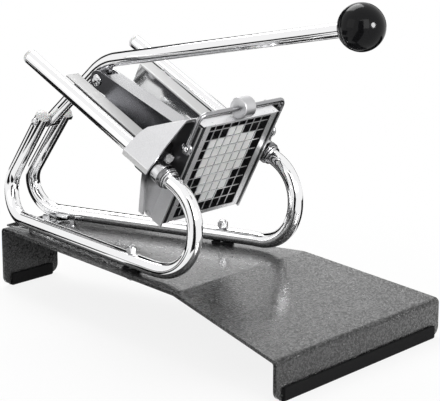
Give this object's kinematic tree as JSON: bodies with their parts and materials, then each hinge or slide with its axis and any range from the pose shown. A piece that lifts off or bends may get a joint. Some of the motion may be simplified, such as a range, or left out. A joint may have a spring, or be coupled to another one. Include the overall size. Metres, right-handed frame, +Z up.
{
  "type": "french fry cutter",
  "caption": "Hand-lever french fry cutter: a chrome tube frame on a bent steel base, a trough, a blade grid in a cast head and a finger pusher driven by a long lever.",
  "frame": {"origin": "on the table plane, midway along the whole length and on the mirror plane between the two side tubes", "axes": "+X to the front, the way the chips come out and the lever points; +Y to the left; +Z up"},
  "size_m": [0.4364, 0.2292, 0.3057],
  "materials": {
    "hammered_paint": "dark grey hammered paint",
    "strip_rubber": "black rubber",
    "bright_tube": "bright chrome plate",
    "cap_plastic": "pale plastic",
    "folded_steel": "satin stainless sheet",
    "bolt_steel": "bright zinc plate",
    "head_casting": "satin casting",
    "dark_steel": "dark satin steel",
    "frame_steel": "satin stainless",
    "blade_steel": "polished blade steel",
    "knob_plastic": "glossy black",
    "pusher_plastic": "off-white plastic",
    "roller_alloy": "turned, satin"
  },
  "bodies": {
    "frame": {"base_plate": "hammered_paint", "rear_foot_strip": "strip_rubber", "front_foot_strip": "strip_rubber", "left_frame_tube": "bright_tube", "right_frame_tube": "bright_tube", "rod_end_caps": "cap_plastic", "leg_end_caps": "cap_plastic", "rear_cross_strap": "folded_steel", "strap_bolts": "bolt_steel", "strap_nuts": "bolt_steel", "rail_pads": "folded_steel", "rail_bolts": "bolt_steel", "rail_nuts": "bolt_steel", "trough": "folded_steel", "trough_rivets": "bolt_steel", "head_housing": "head_casting", "head_sleeves": "bright_tube", "sleeve_collars": "dark_steel", "sleeve_rings": "bolt_steel", "clamp_screws": "bolt_steel", "blade_frame": "frame_steel", "vertical_blades": "blade_steel", "horizontal_blades": "blade_steel", "bail_screws": "bolt_steel", "pivot_bolt": "bolt_steel", "pivot_nut": "bolt_steel"},
    "lever": {"lever_tube": "bright_tube", "lever_bush": "bolt_steel", "lever_lug": "dark_steel", "ball_knob": "knob_plastic", "link_pin": "bolt_steel", "link_pin_clip": "bolt_steel"},
    "link": {"link": "dark_steel", "cross_pin": "bolt_steel", "cross_pin_clips": "bolt_steel"},
    "pusher": {"pusher_block": "pusher_plastic", "pusher_bracket": "folded_steel", "pusher_screws": "bolt_steel"},
    "bail": {"bail_wire": "bright_tube"},
    "roller": {"clamp_roller": "roller_alloy"}
  },
  "joints": [
    {"name": "lever_lift", "type": "hinge", "parent": "frame", "child": "lever", "pos_m": [-0.16746, 0, 0.16685], "axis": [0, -1, 0], "range_deg": [0, 78]},
    {"name": "link_swing", "type": "hinge", "parent": "lever", "child": "link", "pos_m": [-0.09335, 0, 0.21392], "axis": [0, 1, 0], "range_deg": [0, 69.82]},
    {"name": "pusher_slide", "type": "slide", "parent": "frame", "child": "pusher", "axis": [-0.8862, 0, 0.4633], "range_m": [0, 0.11219]},
    {"name": "bail_swing", "type": "hinge", "parent": "frame", "child": "bail", "pos_m": [0.05966, 0, 0.17647], "axis": [0, 1, 0], "range_deg": [0, 110]},
    {"name": "roller_turn", "type": "hinge", "parent": "bail", "child": "roller", "pos_m": [0.07549, 0, 0.20675], "axis": [0, 1, 0], "continuous": true}
  ],
  "couplings": [
    {"joint": "link_swing", "follows": "lever_lift", "ratio": 0.8951},
    {"joint": "pusher_slide", "follows": "lever_lift", "m_per_rad": 0.082411}
  ]
}
